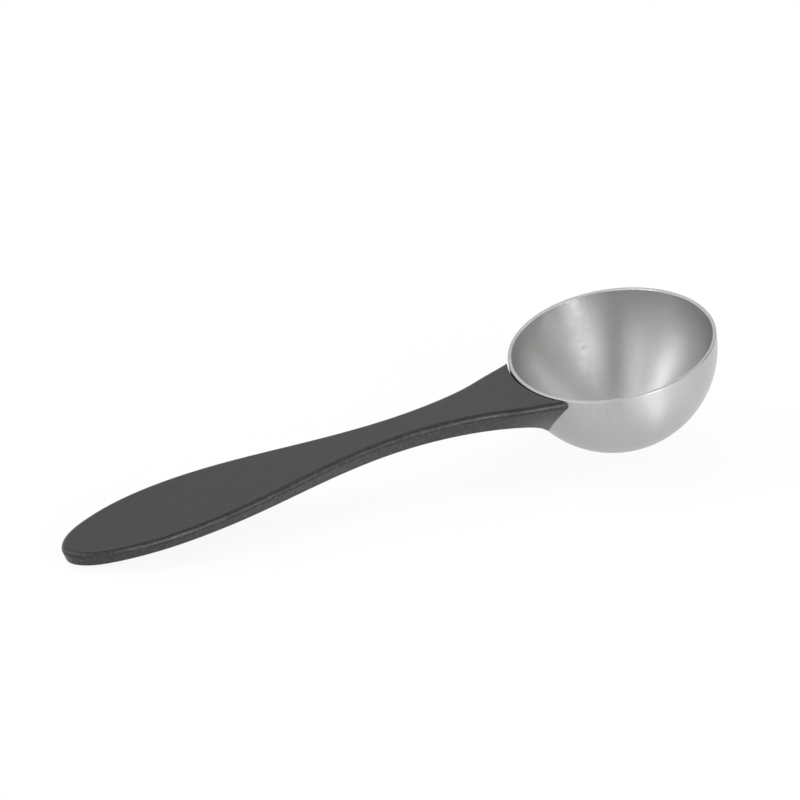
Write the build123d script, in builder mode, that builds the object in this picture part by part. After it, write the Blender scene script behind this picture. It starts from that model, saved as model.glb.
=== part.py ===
from build123d import *
import os
from math import asin, atan, atan2, cos, degrees, exp, hypot, pi, radians, sin, tan

# Measuring spoon for ground coffee: a brushed steel bowl on a moulded plastic handle.
# It lies as on a table, +Z up, with the handle towards -X. All lengths are in millimetres.

# Bowl
bowl_radius = 24.5
bowl_wall = 0.9
lip_height = 1.1
rim_round = 0.2

# Top line of the handle, seen from the side. Lengths run from the mouth, rises from the bowl's rim.
handle_length = 120.8
tip_rise = 15.4
neck_length = 11.2
neck_rise = 1.95
arch_rise = 1.5
mouth_rise = 0.2
horn_drop = 0.45

# Handle, seen from above. The horns reach round the bowl by the horn angle.
horn_angle = 30.8
waist_width = 8.75
palm_width = 21.9
waist_share = 0.292
palm_share = 0.764

# Sides and underside of the handle
plan_depth = 9.0
side_draft = 20.0
mouth_lean = 11.4
top_round = 1.1
mouth_round = 0.9
under_round = 0.8
neck_depth = 5.2
tip_depth = 3.85
belly_arch = 2.05
crown_radius = 100.0
keel_length = 9.5
keel_slope = 0.4
keel_nose = 1.3
keel_bulge = 14.7
keel_depth_share = 0.35
keel_floor_share = 1.08
flare_start = 8.0
flare_blend = 7.0

# Tang inside the handle and its seats
seat_clearance = 0.3
weld_gap = 0.1
pad_thickness = 1.5
pad_width = 10.0
pad_height = 6.5
pad_corner = 1.5
pad_drop = 4.9
strip_width = 4.6
strip_thickness = 1.8
strip_length = 52.0
strip_drop = 3.0
strip_rise = 2.7
tang_clearance = 0.15
barb_length = 3.0
barb_pitch = 11.0
barb_count = 3

overrun = 6.0
surface_tolerance = 0.01

# Chord of the handle, from the mouth to the tip
mouth_reach = bowl_radius + seat_clearance
mouth_height = lip_height + mouth_rise
chord = hypot(handle_length, tip_rise - mouth_rise)
chord_angle = atan2(tip_rise - mouth_rise, handle_length)
draft = radians(side_draft)
horn_depth = mouth_reach * (1 - cos(radians(horn_angle)))
horn_half = mouth_reach * sin(radians(horn_angle))
keel_depth = keel_depth_share * horn_half
keel_floor = keel_floor_share * horn_half


def flare(along):
    """Share of the mouth's form in the handle at a distance along its chord."""
    return 1 / (1 + exp((along - flare_start) / flare_blend))


def lean(along):
    """Angle of the handle's side from upright, which grows towards the mouth."""
    return draft + radians(mouth_lean) * flare(along)


def edge_loss(along):
    """What the rounded top edge takes off the width at a sharp corner."""
    return top_round * (tan(pi / 4 + lean(along) / 2) - 1)


def side_move(along, height):
    """How far the side stands out from the outline at a height over the chord. Near the mouth it curves in."""
    upper = max(height, -plan_depth)
    lower = height - upper
    curve = min(height, 0) ** 2 / (2 * keel_bulge)
    return edge_loss(along) + (upper + lower * flare(along)) * tan(lean(along)) - curve * flare(along)


def low_line(along):
    """Height of the underside's middle line over the chord."""
    share = along / chord
    depth = neck_depth - (neck_depth - tip_depth) * share**2
    return 4 * belly_arch * share * (1 - share) - depth - keel_depth * exp(-along / keel_length)


def underside(along, across):
    slope = keel_slope * flare(along)
    keel = hypot(slope * across, keel_nose) - keel_nose
    return low_line(along) + keel + across**2 / (2 * crown_radius)


def beside_bowl(along, height):
    """Distance from the bowl's axis and height over its centre of a point given from the chord."""
    return (
        mouth_reach + along * cos(chord_angle) - height * sin(chord_angle),
        mouth_height + along * sin(chord_angle) + height * cos(chord_angle),
    )


# The spoon rests on the bowl and on the rounded lower corner of its tip.
belly_fall = atan((4 * belly_arch - 2 * (neck_depth - tip_depth)) / chord)
toe_half = (pi / 2 + draft - belly_fall) / 2
toe_angle = pi / 2 - draft + toe_half
toe_along = chord + edge_loss(chord) - tip_depth * tan(draft) + under_round / sin(toe_half) * cos(toe_angle)
toe_reach, toe_height = beside_bowl(toe_along, under_round / sin(toe_half) * sin(toe_angle) - tip_depth)
rest_tilt = asin((bowl_radius - under_round) / hypot(toe_reach, toe_height)) + atan2(toe_height, toe_reach)
end_reach, end_height = beside_bowl(chord - top_round, -top_round)
spoon_end = end_reach * cos(rest_tilt) + end_height * sin(rest_tilt) + top_round
bowl_place = (spoon_end - bowl_radius) / 2

# The level plane holds the bowl's centre, square to its axis. The grip plane holds the handle's chord.
level = Plane(
    origin=(bowl_place, 0, bowl_radius),
    x_dir=(cos(rest_tilt), 0, sin(rest_tilt)),
    z_dir=(-sin(rest_tilt), 0, cos(rest_tilt)),
)
side = Plane(origin=level.origin, x_dir=level.x_dir, z_dir=(0, -1, 0))
bowl_axis = Axis(level.origin, level.z_dir)
grip_angle = rest_tilt - chord_angle
grip = Plane(
    origin=level.from_local_coords(Vector(-mouth_reach, 0, mouth_height)),
    x_dir=(-cos(grip_angle), 0, -sin(grip_angle)),
    z_dir=(-sin(grip_angle), 0, cos(grip_angle)),
)

# Half outline of the handle over its chord, as distances along it and from its middle
horn_shares = [(-3.6, 1.3), (-2.5, 1.17), (-1, 1)]
flare_shares = [(0.0435, 0.785), (0.093, 0.614), (0.168, 0.443)]
grip_shares = [(0.459, 0.563), (0.624, 0.876)]
half_outline = [(x * horn_depth, y * horn_half) for x, y in horn_shares]
half_outline += [(x * chord, y * horn_half) for x, y in flare_shares]
half_outline += [(waist_share * chord, waist_width / 2)]
half_outline += [(x * chord, y * palm_width / 2) for x, y in grip_shares]
for step in range(4):
    turn = step * pi / 8
    half_outline += [((palm_share + (1 - palm_share) * sin(turn)) * chord, palm_width / 2 * cos(turn))]
outline = half_outline + [(chord, 0)] + [(x, -y) for x, y in reversed(half_outline)]


def plan_points(height):
    """Points of the sharp-edged outline at a height over the chord, each moved square to the outline."""
    points = []
    for before, point, after in zip(outline, outline[1:], outline[2:]):
        along = Vector(*after) - Vector(*before)
        outward = Vector(-along.Y, along.X).normalized()
        points.append(Vector(*point) + outward * side_move(point[0], height))
    return points


def tang_form(growth):
    """Pad and strip of the tang, or with a growth the room for them in the handle."""
    with BuildPart() as form:
        with BuildSketch(side):
            inner = bowl_radius + weld_gap - growth
            outer = bowl_radius + weld_gap + pad_thickness + growth
            with BuildLine():
                low_arc = CenterArc((0, 0), outer, 180, 90)
                high_arc = CenterArc((0, 0), inner, 180, 90)
                Line(low_arc @ 0, high_arc @ 0)
                Line(low_arc @ 1, high_arc @ 1)
            make_face()
        revolve(axis=bowl_axis)
        with BuildSketch(Plane(level.origin, x_dir=(0, 1, 0), z_dir=-level.x_dir)):
            with Locations((0, pad_drop - lip_height)):
                RectangleRounded(pad_width + 2 * growth, pad_height + 2 * growth, pad_corner + growth)
        extrude(amount=bowl_radius * 2, mode=Mode.INTERSECT)
        with BuildSketch(strip_plane):
            Rectangle(strip_width + 2 * growth, strip_thickness + 2 * growth)
        extrude(amount=strip_length + growth)
    return form.part


# Arc of the top line from the neck to the tip, seen from the side
horn_point = Vector(-mouth_reach + 1.4 * horn_depth, lip_height - horn_drop)
neck_point = Vector(-mouth_reach - neck_length, lip_height + neck_rise)
tip_point = Vector(-mouth_reach - handle_length, lip_height + tip_rise)
crest_span = (tip_point - neck_point).length
crest_radius = (crest_span**2 / 4 + arch_rise**2) / (2 * arch_rise)
crest_down = (tip_point - neck_point).rotate(Axis.Z, 90).normalized()
crest_centre = (neck_point + tip_point) / 2 + crest_down * (crest_radius - arch_rise)
crest_start = degrees(atan2(neck_point.Y - crest_centre.Y, neck_point.X - crest_centre.X))
crest_turn = degrees(2 * asin(crest_span / 2 / crest_radius) + overrun / crest_radius)

strip_turn = radians(strip_rise)
strip_plane = Plane(
    origin=grip.from_local_coords(Vector(0, 0, -strip_drop)),
    x_dir=grip.y_dir,
    z_dir=grip.x_dir * cos(strip_turn) + grip.z_dir * sin(strip_turn),
)
strip_flat = Plane(origin=strip_plane.origin, x_dir=strip_plane.z_dir, z_dir=strip_plane.y_dir)

os.makedirs("parts", exist_ok=True)

# Bowl: half-round, with a short straight lip and a rounded mouth edge
with BuildPart() as bowl:
    with BuildSketch(side):
        with BuildLine():
            outer = CenterArc((0, 0), bowl_radius, -90, 90)
            lip = Polyline(
                outer @ 1,
                (bowl_radius, lip_height),
                (bowl_radius - bowl_wall, lip_height),
                (bowl_radius - bowl_wall, 0),
            )
            inner = CenterArc((0, 0), bowl_radius - bowl_wall, 0, -90)
            Line(inner @ 1, outer @ 0)
        make_face()
    revolve(axis=bowl_axis)
    rim = bowl.faces().filter_by(GeomType.PLANE).sort_by(bowl_axis)[-1]
    fillet(rim.edges(), rim_round)
bowl.part.label = "bowl"
export_step(bowl.part, "parts/bowl.step")

# Tang: a pad welded to the bowl and a strip with barbs that hold it in the handle
with BuildPart() as tang:
    add(tang_form(0))
    with BuildSketch(strip_flat):
        barb_places = [(strip_length - (step + 1) * barb_pitch, 0) for step in range(barb_count)]
        with Locations(barb_places):
            Polygon(
                (0, -strip_width / 2 - tang_clearance),
                (barb_length, -strip_width / 2),
                (barb_length, strip_width / 2),
                (0, strip_width / 2 + tang_clearance),
            )
    extrude(amount=strip_thickness / 2, both=True)
tang.part.label = "tang"
export_step(tang.part, "parts/tang.step")

# Handle: a drafted plan under an arched top, over a crowned underside that deepens into a keel at the bowl
with BuildPart() as handle:
    for height in (overrun, 0, -plan_depth / 2, -plan_depth, -keel_floor):
        with BuildSketch(grip.offset(height)):
            with BuildLine():
                edge_line = Spline(*plan_points(height))
                Line(edge_line @ 1, edge_line @ 0)
            make_face()
    loft()

    # Arched top that flattens into the mouth
    with BuildSketch(side):
        with BuildLine():
            crest = CenterArc(crest_centre, crest_radius, crest_start, crest_turn)
            mouth_line = TangentArc(neck_point, horn_point, tangent=-(crest % 0))
            Polyline(
                crest @ 1,
                ((crest @ 1).X, -bowl_radius),
                (0, -bowl_radius),
                (0, horn_point.Y),
                horn_point,
            )
        make_face()
    extrude(amount=horn_half * 2, both=True, mode=Mode.INTERSECT)

    # Seat around the bowl
    with BuildSketch(side):
        with BuildLine():
            seat_arc = CenterArc((0, 0), mouth_reach, -90, 90)
            edge_centre = Vector(mouth_reach + mouth_round, mouth_height - mouth_round * 0.9)
            edge_arc = CenterArc(edge_centre, mouth_round, 180, -90)
            Line(seat_arc @ 1, edge_arc @ 0)
            Polyline(edge_arc @ 1, ((edge_arc @ 1).X, bowl_radius), (0, bowl_radius), seat_arc @ 0)
        make_face()
    revolve(axis=bowl_axis, mode=Mode.SUBTRACT)
    top_faces = handle.faces().filter_by(GeomType.CYLINDER).sort_by(SortBy.AREA)[-2:]
    side_face = handle.faces().filter_by(GeomType.BSPLINE).sort_by(SortBy.AREA)[-1]
    fillet(top_faces.edges() & side_face.edges(), top_round)

    # Underside
    rows = [chord * step / 40 for step in range(-4, 44)]
    columns = [horn_half * step / 6 for step in range(-8, 9)]
    grid = [[grip.from_local_coords(Vector(x, y, underside(x, y))) for y in columns] for x in rows]
    belly = Face.make_surface_from_array_of_points(grid, tol=surface_tolerance, min_deg=3, max_deg=5)
    extrude(belly, amount=horn_half * 3, dir=grip.z_dir, mode=Mode.INTERSECT)
    belly_face = handle.faces().filter_by(lambda face: face.normal_at().Z < -0.7).sort_by(SortBy.AREA)[-1]
    low_edge = belly_face.edges().filter_by(lambda edge: edge.length > chord / 2)
    fillet(low_edge, under_round)

    # Room for the tang
    add(tang_form(tang_clearance), mode=Mode.SUBTRACT)
handle.part.label = "handle"
export_step(handle.part, "parts/handle.step")
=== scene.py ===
from math import cos, pi, radians, sin

import bpy
from mathutils import Matrix, Vector


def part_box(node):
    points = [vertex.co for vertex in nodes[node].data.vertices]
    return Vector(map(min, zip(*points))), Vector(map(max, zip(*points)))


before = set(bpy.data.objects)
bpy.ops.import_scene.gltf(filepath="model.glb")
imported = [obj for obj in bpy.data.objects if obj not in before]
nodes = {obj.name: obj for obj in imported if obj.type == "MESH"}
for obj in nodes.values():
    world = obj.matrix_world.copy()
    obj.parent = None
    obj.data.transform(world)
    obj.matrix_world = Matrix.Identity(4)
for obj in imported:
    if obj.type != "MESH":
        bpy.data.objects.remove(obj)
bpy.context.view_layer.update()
print("frame loaded:", ", ".join(sorted(nodes)))


# A shader socket that can stand in a sum
class Wire:
    def __init__(self, tree, socket):
        self.tree = tree
        self.socket = socket

    def maths(self, operation, *others):
        return mathsNode(self.tree, operation, self, *others)

    def __add__(self, other):
        return self.maths("ADD", other)

    def __radd__(self, other):
        return mathsNode(self.tree, "ADD", other, self)

    def __sub__(self, other):
        return self.maths("SUBTRACT", other)

    def __rsub__(self, other):
        return mathsNode(self.tree, "SUBTRACT", other, self)

    def __mul__(self, other):
        return self.maths("MULTIPLY", other)

    def __rmul__(self, other):
        return mathsNode(self.tree, "MULTIPLY", other, self)

    def __truediv__(self, other):
        return self.maths("DIVIDE", other)

    def __pow__(self, other):
        return self.maths("POWER", other)


# Any node: its settings first, then the values or wires of its sockets
def addNode(tree, kind, settings, sockets, out=0):
    node = tree.nodes.new(kind)
    for name, value in settings.items():
        setattr(node, name, value)
    for name, value in sockets.items():
        if isinstance(value, Wire):
            tree.links.new(value.socket, node.inputs[name])
        else:
            node.inputs[name].default_value = value
    return Wire(tree, node.outputs[out]) if node.outputs else None


def mathsNode(tree, operation, *values):
    return addNode(tree, "ShaderNodeMath", {"operation": operation}, dict(enumerate(values)))


def newTree(name):
    material = bpy.data.materials.new(name)
    material.use_nodes = True
    material.node_tree.nodes.clear()
    return material, material.node_tree


def joinVector(tree, x, y, z):
    return addNode(tree, "ShaderNodeCombineXYZ", {}, {0: x, 1: y, 2: z})


# x, y and z of a vector as three wires
def splitVector(tree, vector):
    first = addNode(tree, "ShaderNodeSeparateXYZ", {}, {0: vector})
    return [Wire(tree, socket) for socket in first.socket.node.outputs]


# Runs smoothly from 0 at low to 1 at high
def rampUp(tree, value, low, high):
    settings = {"interpolation_type": "SMOOTHSTEP"}
    sockets = {"Value": value, "From Min": low, "From Max": high}
    return addNode(tree, "ShaderNodeMapRange", settings, sockets)


# Noise from 0 to 1, round a middle of 0.5
def noiseOf(tree, vector, scale, detail, roughness=0.5):
    sockets = {"Vector": vector, "Scale": scale, "Detail": detail, "Roughness": roughness}
    return addNode(tree, "ShaderNodeTexNoise", {}, sockets)


def greyOf(tree, value, tint=(1.0, 1.0, 1.0)):
    channels = {i: value * share for i, share in enumerate(tint)}
    return addNode(tree, "ShaderNodeCombineColor", {}, channels)


# Camera: where the photograph was taken from, in metres, and the lens in millimetres
cameraLook = {
    "place": (-0.603799, -0.900371, 0.526148),
    "right": (0.84332, -0.53417, 0.059),
    "up": (0.18041, 0.38479, 0.9052),
    "sensor": 36.0,
    "lens": 236.82,
    "nearest": 0.05,
    "furthest": 20,
}
cameraData = bpy.data.cameras.new("camera")
cameraData.sensor_width = cameraLook["sensor"]
cameraData.lens = cameraLook["lens"]
cameraData.clip_start = cameraLook["nearest"]
cameraData.clip_end = cameraLook["furthest"]
camera = bpy.data.objects.new("camera", cameraData)
bpy.context.collection.objects.link(camera)
cameraRight = Vector(cameraLook["right"]).normalized()
cameraUp = Vector(cameraLook["up"]).normalized()
cameraBack = cameraRight.cross(cameraUp)
turn = Matrix((cameraRight, cameraUp, cameraBack)).transposed()
camera.matrix_world = Matrix.Translation(cameraLook["place"]) @ turn.to_4x4()
bpy.context.scene.camera = camera
print("camera placed")

# Where the bowl is: its box gives the ball that it is part of
bowlLow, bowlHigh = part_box("bowl")
bowlRadius = bowlHigh.y
bowlCentre = Vector((bowlHigh.x - bowlRadius, 0, bowlLow.z + bowlRadius))

# Brushed steel of the bowl: fine strokes run round its axis, in wider bands
bowlLook = {
    "tilt": 14.6634,          # degrees between the bowl's axis and upright
    "wall": 0.0009,
    "wallFade": (0.6, 0.3),   # depths from outside, as shares of the wall, where the strokes deepen and the colour turns from the lighter inside (painted light) to the darker outside (painted shade)
    "rimTop": 0.00075,        # above the ball's centre, where the turned rim starts
    "rimFade": 0.0001,
    # One steel, painted lighter inside as painted light and darker outside as painted shade
    "inside": 0.65,
    "outsideToneWithPaintedShade": 0.545,
    # The turned rim is painted lighter: a painted highlight along the rim
    "rimPaintedHighlight": 0.05,
    "bandTone": 0.04,
    "tint": (1.0, 0.998, 0.992),
    "roughness": 0.305,
    "bandRoughness": 0.03,
    "cloudRoughness": 0.02,
    "cloudScale": 90.0,
    "lineWidth": 0.000016,
    "lineLength": 0.0015,
    "lineDepth": 0.0000105,
    "bandShare": (0.3, 0.04),  # how often a band comes for each stroke, round the bowl and down it
    "bandDepth": 0.05,
    "rimSmooth": 0.8,
    "outsideDepth": 0.9,      # how much deeper the strokes are outside
    "bumpStep": 0.01,         # pixels between the heights that give the slope
}


def bowlFinish(look):
    material, tree = newTree("bowlSteel")
    place = addNode(tree, "ShaderNodeTexCoord", {}, {}, out="Object")
    level = addNode(tree, "ShaderNodeMapping", {"vector_type": "TEXTURE"}, {
        "Vector": place,
        "Location": bowlCentre,
        "Rotation": (0, -radians(look["tilt"]), 0),
    })
    x, y, z = splitVector(tree, level)
    reach = (x * x + y * y) ** 0.5
    height = z.maths("ARCTAN2", reach)
    across = 1 / look["lineLength"] * bowlRadius
    down = 1 / look["lineWidth"] * bowlRadius
    fineLines = joinVector(tree, x / reach * across, y / reach * across, height * down)
    fine = noiseOf(tree, fineLines, 1.0, detail=0.0)
    bandAcross, bandDown = look["bandShare"]
    wide = across * bandAcross
    broadLines = joinVector(tree, x / reach * wide, y / reach * wide, height * down * bandDown)
    broad = noiseOf(tree, broadLines, 1.0, detail=2.0)
    cloud = noiseOf(tree, level, look["cloudScale"], detail=2.0)
    rim = rampUp(tree, z, look["rimTop"], look["rimTop"] + look["rimFade"])
    # Outside or inside: by the distance from the ball's centre, and in the lip from the axis
    ball = joinVector(tree, x, y, z.maths("MINIMUM", 0.0))
    depth = addNode(tree, "ShaderNodeVectorMath", {"operation": "LENGTH"}, {0: ball}, out="Value")
    fadeStart, fadeEnd = [bowlRadius - look["wall"] * share for share in look["wallFade"]]
    outward = rampUp(tree, depth, fadeStart, fadeEnd)
    # Painted light and shade: the inside of the steel is painted lighter, the outside darker
    plain = look["inside"] + outward * (look["outsideToneWithPaintedShade"] - look["inside"])
    # The rim's added tone is a painted highlight
    tone = plain * (1 - look["bandTone"] / 2 + broad * look["bandTone"]) + rim * look["rimPaintedHighlight"]
    rough = look["roughness"] + (broad - 0.5) * look["bandRoughness"]
    rough = rough + (cloud - 0.5) * look["cloudRoughness"]
    strokes = (fine + broad * look["bandDepth"]) * (1 - rim * look["rimSmooth"])
    bump = addNode(tree, "ShaderNodeBump", {}, {
        "Height": strokes * (1 + outward * look["outsideDepth"]),
        "Strength": 1.0,
        "Distance": look["lineDepth"],
        "Filter Width": look["bumpStep"],
    })
    shader = addNode(tree, "ShaderNodeBsdfPrincipled", {}, {
        "Base Color": greyOf(tree, tone, look["tint"]),
        "Metallic": 1.0,
        "Roughness": rough,
        "Normal": bump,
    })
    addNode(tree, "ShaderNodeOutputMaterial", {}, {"Surface": shader})
    return material


# Moulded plastic of the handle: a fine spark texture, lighter specks on the sides that are partly
# the texture and partly painted glints, a little wear along the edges that is lightened further as a
# painted highlight on the ridge, and sides painted darker as painted shade. Edge and side go by how
# far the surface looks up: 0 on an upright wall, 1 on top.
handleLook = {
    "colour": 0.0205,
    "tint": (1.0, 0.99, 0.98),
    "sparkScale": 2200.0,
    "sparkDepth": 0.00006,
    "sparkTone": 0.2,
    "blotchScale": 160.0,
    "blotchTone": 0.1,
    "edgeRise": (0.2, 0.45),
    "edgeFall": (0.55, 0.8),
    "wearAndHighlightReach": (0.3, 0.65),
    "wearAndHighlightTone": 1.8,
    "sideReach": (0.55, 0.95),
    "sideShare": 0.75,
    "sidePaintedShade": 0.35,
    "speckScale": 1300.0,
    "speckReach": (0.52, 0.64),
    "speckAndGlintColour": 0.02,
    "roughness": 0.33,
    "sparkRoughness": 0.16,
    "blotchRoughness": 0.06,
    "wornRoughness": 0.06,
}


def handleFinish(look):
    material, tree = newTree("handlePlastic")
    place = addNode(tree, "ShaderNodeTexCoord", {}, {}, out="Object")
    facing = addNode(tree, "ShaderNodeTexCoord", {}, {}, out="Normal")
    spark = noiseOf(tree, place, look["sparkScale"], detail=3.0, roughness=0.6)
    blotch = noiseOf(tree, place, look["blotchScale"], detail=3.0)
    upward = splitVector(tree, facing)[2]
    edge = rampUp(tree, upward, *look["edgeRise"]) * (1 - rampUp(tree, upward, *look["edgeFall"]))
    # Worn edges: real wear, lightened further as a painted highlight along the ridge
    wearAndRidgeHighlight = edge * rampUp(tree, blotch, *look["wearAndHighlightReach"])
    side = 1 - rampUp(tree, upward, *look["sideReach"]) * look["sideShare"]
    dots = noiseOf(tree, place, look["speckScale"], detail=1.0)
    # Lighter specks on the sides: partly the moulded texture, partly painted glints
    specksAndGlints = rampUp(tree, dots, *look["speckReach"]) * side
    plain = 1 - (look["sparkTone"] + look["blotchTone"]) / 2
    shade = plain + spark * look["sparkTone"] + blotch * look["blotchTone"]
    # Painted shade: the sides are painted darker than the top
    tone = look["colour"] * (shade + wearAndRidgeHighlight * look["wearAndHighlightTone"] - side * look["sidePaintedShade"])
    tone = tone + specksAndGlints * look["speckAndGlintColour"]
    rough = look["roughness"] + (spark - 0.5) * look["sparkRoughness"]
    rough = rough + (blotch - 0.5) * look["blotchRoughness"] - wearAndRidgeHighlight * look["wornRoughness"]
    bump = addNode(tree, "ShaderNodeBump", {}, {
        "Height": spark,
        "Strength": 1.0,
        "Distance": look["sparkDepth"],
    })
    shader = addNode(tree, "ShaderNodeBsdfPrincipled", {}, {
        "Base Color": greyOf(tree, tone, look["tint"]),
        "Roughness": rough,
        "Normal": bump,
    })
    addNode(tree, "ShaderNodeOutputMaterial", {}, {"Surface": shader})
    return material


# Plain rolled steel of the tang, which the handle hides
tangLook = {
    "colour": 0.5,
    "roughness": 0.38,
    "grainScale": (60.0, 2500.0, 2500.0),
    "grainTone": 0.15,
    "grainRoughness": 0.15,
    "grainDepth": 0.00001,
    "spotScale": 220.0,
    "spotTone": 0.1,
    "lowTone": 0.85,
}


def tangFinish(look):
    material, tree = newTree("tangSteel")
    place = addNode(tree, "ShaderNodeTexCoord", {}, {}, out="Object")
    rolled = addNode(tree, "ShaderNodeMapping", {}, {"Vector": place, "Scale": look["grainScale"]})
    grain = noiseOf(tree, rolled, 1.0, detail=3.0, roughness=0.6)
    spots = noiseOf(tree, place, look["spotScale"], detail=3.0)
    tone = look["colour"] * (look["lowTone"] + grain * look["grainTone"] + spots * look["spotTone"])
    rough = look["roughness"] + (grain - 0.5) * look["grainRoughness"]
    bump = addNode(tree, "ShaderNodeBump", {}, {
        "Height": grain,
        "Strength": 0.6,
        "Distance": look["grainDepth"],
    })
    shader = addNode(tree, "ShaderNodeBsdfPrincipled", {}, {
        "Base Color": greyOf(tree, tone),
        "Metallic": 1.0,
        "Roughness": rough,
        "Normal": bump,
    })
    addNode(tree, "ShaderNodeOutputMaterial", {}, {"Surface": shader})
    return material


finishes = {
    "bowl": bowlFinish(bowlLook),
    "handle": handleFinish(handleLook),
    "tang": tangFinish(tangLook),
}
for name, material in finishes.items():
    nodes[name].data.materials.clear()
    nodes[name].data.materials.append(material)
print("materials made")

# Floor: pale, seen by the camera and in the steel as nearly white, and it keeps the shadow
floorLook = {"size": 6.0, "colour": (0.95, 0.95, 0.95, 1.0), "glow": 0.92, "mirrorGlow": 0.58}
bpy.ops.object.select_all(action="DESELECT")
bpy.ops.mesh.primitive_plane_add(size=floorLook["size"], location=(0, 0, 0))
floor = bpy.context.object
floor.name = "floor"
floorMaterial, floorTree = newTree("floorPale")
rays = addNode(floorTree, "ShaderNodeLightPath", {}, {}).socket.node.outputs
rayKinds = ("Is Camera Ray", "Is Glossy Ray", "Is Transmission Ray")
toCamera, toGloss, toGlass = [Wire(floorTree, rays[kind]) for kind in rayKinds]
mirrored = toGloss + toGlass
seen = toCamera * floorLook["glow"] + mirrored * floorLook["mirrorGlow"]
paint = addNode(floorTree, "ShaderNodeBsdfDiffuse", {}, {"Color": floorLook["colour"]})
white = addNode(floorTree, "ShaderNodeEmission", {}, {"Strength": 1.0})
floorMix = addNode(floorTree, "ShaderNodeMixShader", {}, {0: seen, 1: paint, 2: white})
addNode(floorTree, "ShaderNodeOutputMaterial", {}, {"Surface": floorMix})
floor.data.materials.append(floorMaterial)

# Studio: a dome that is pale near the floor and grey above, with a dark patch high up on the right
# and a dark upright slit behind the camera. The reaches are cosines and sines of angles.
domeLook = {
    "low": 0.93,
    "high": 0.63,
    "riseReach": (0.15, 0.6),
    "darkShare": 0.88,
    "darkWay": (0.54, 0.08, 0.84),
    "darkReach": (0.85, 0.95),
    "slitShare": 0.98,
    "slitWay": (-0.643, -0.766),
    "slitReach": (0.07, 0.15),
    "aheadReach": (0.0, 0.3),
}
world = bpy.data.worlds.new("studio")
world.use_nodes = True
domeTree = world.node_tree
domeTree.nodes.clear()
way = addNode(domeTree, "ShaderNodeTexCoord", {}, {})
wayX, wayY, wayZ = splitVector(domeTree, way)
rise = rampUp(domeTree, wayZ, *domeLook["riseReach"])
darkX, darkY, darkZ = domeLook["darkWay"]
dark = rampUp(domeTree, wayX * darkX + wayY * darkY + wayZ * darkZ, *domeLook["darkReach"])
slitX, slitY = domeLook["slitWay"]
aside = (wayX * slitY - wayY * slitX).maths("ABSOLUTE")
ahead = rampUp(domeTree, wayX * slitX + wayY * slitY, *domeLook["aheadReach"])
slit = ahead * (1 - rampUp(domeTree, aside, *domeLook["slitReach"]))
domeTone = domeLook["low"] + rise * (domeLook["high"] - domeLook["low"])
domeTone = domeTone * (1 - dark * domeLook["darkShare"])
domeTone = domeTone * (1 - slit * domeLook["slitShare"])
domeLight = addNode(domeTree, "ShaderNodeBackground", {}, {"Color": greyOf(domeTree, domeTone)})
addNode(domeTree, "ShaderNodeOutputWorld", {}, {"Surface": domeLight})
bpy.context.scene.world = world

# Soft boxes round the bowl: azimuth clockwise from +Y and height over the floor in degrees,
# size in metres
softBoxes = {
    "lowBox": {"azimuth": 177, "height": 6, "size": (0.32, 0.18), "glow": 13.0},
    "keyBox": {"azimuth": 180, "height": 22, "size": (0.27, 0.3), "glow": 2.8},
    "highBox": {"azimuth": 180, "height": 40, "size": (0.22, 0.36), "glow": 1.4},
    "nearBox": {"azimuth": 195, "height": 22, "size": (0.27, 0.3), "glow": 1.7},
    "edgeBox": {"azimuth": 146, "height": 18, "size": (0.16, 0.3), "glow": 3.6},
    "leftBox": {"azimuth": 300, "height": 40, "size": (0.22, 0.36), "glow": 3.8},
    "underBox": {"azimuth": 300, "height": 22, "size": (0.27, 0.3), "glow": 1.8},
    "backBox": {"azimuth": 255, "height": 40, "size": (0.22, 0.36), "glow": 1.5},
    "sideBox": {"azimuth": 105, "height": 40, "size": (0.22, 0.36), "glow": 2.3},
    "skyBox": {"azimuth": 90, "height": 60, "size": (0.42, 0.4), "glow": 1.6},
    "farBox": {"azimuth": 0, "height": 60, "size": (0.42, 0.4), "glow": 1.4},
    "topBox": {
        "azimuth": -20, "height": 80, "size": (0.8, 0.5), "glow": 3.6, "away": 1.4, "mirrored": False,
    },
}
everyBox = {"away": 1.1, "mirrored": True}  # unless a box's own row says otherwise
for name, ownLook in softBoxes.items():
    look = everyBox | ownLook
    lamp = bpy.data.lights.new(name, "AREA")
    lamp.shape = "RECTANGLE"
    lamp.size, lamp.size_y = look["size"]
    lamp.energy = look["glow"] * pi * lamp.size * lamp.size_y
    box = bpy.data.objects.new(name, lamp)
    bpy.context.collection.objects.link(box)
    azimuth, height = radians(look["azimuth"]), radians(look["height"])
    toBox = Vector((sin(azimuth) * cos(height), cos(azimuth) * cos(height), sin(height)))
    box.location = bowlCentre + toBox * look["away"]
    box.rotation_euler = toBox.to_track_quat("Z", "Y").to_euler()
    box.visible_camera = False
    box.visible_glossy = look["mirrored"]
print("studio lit")

bpy.context.scene.view_settings.view_transform = "Standard"
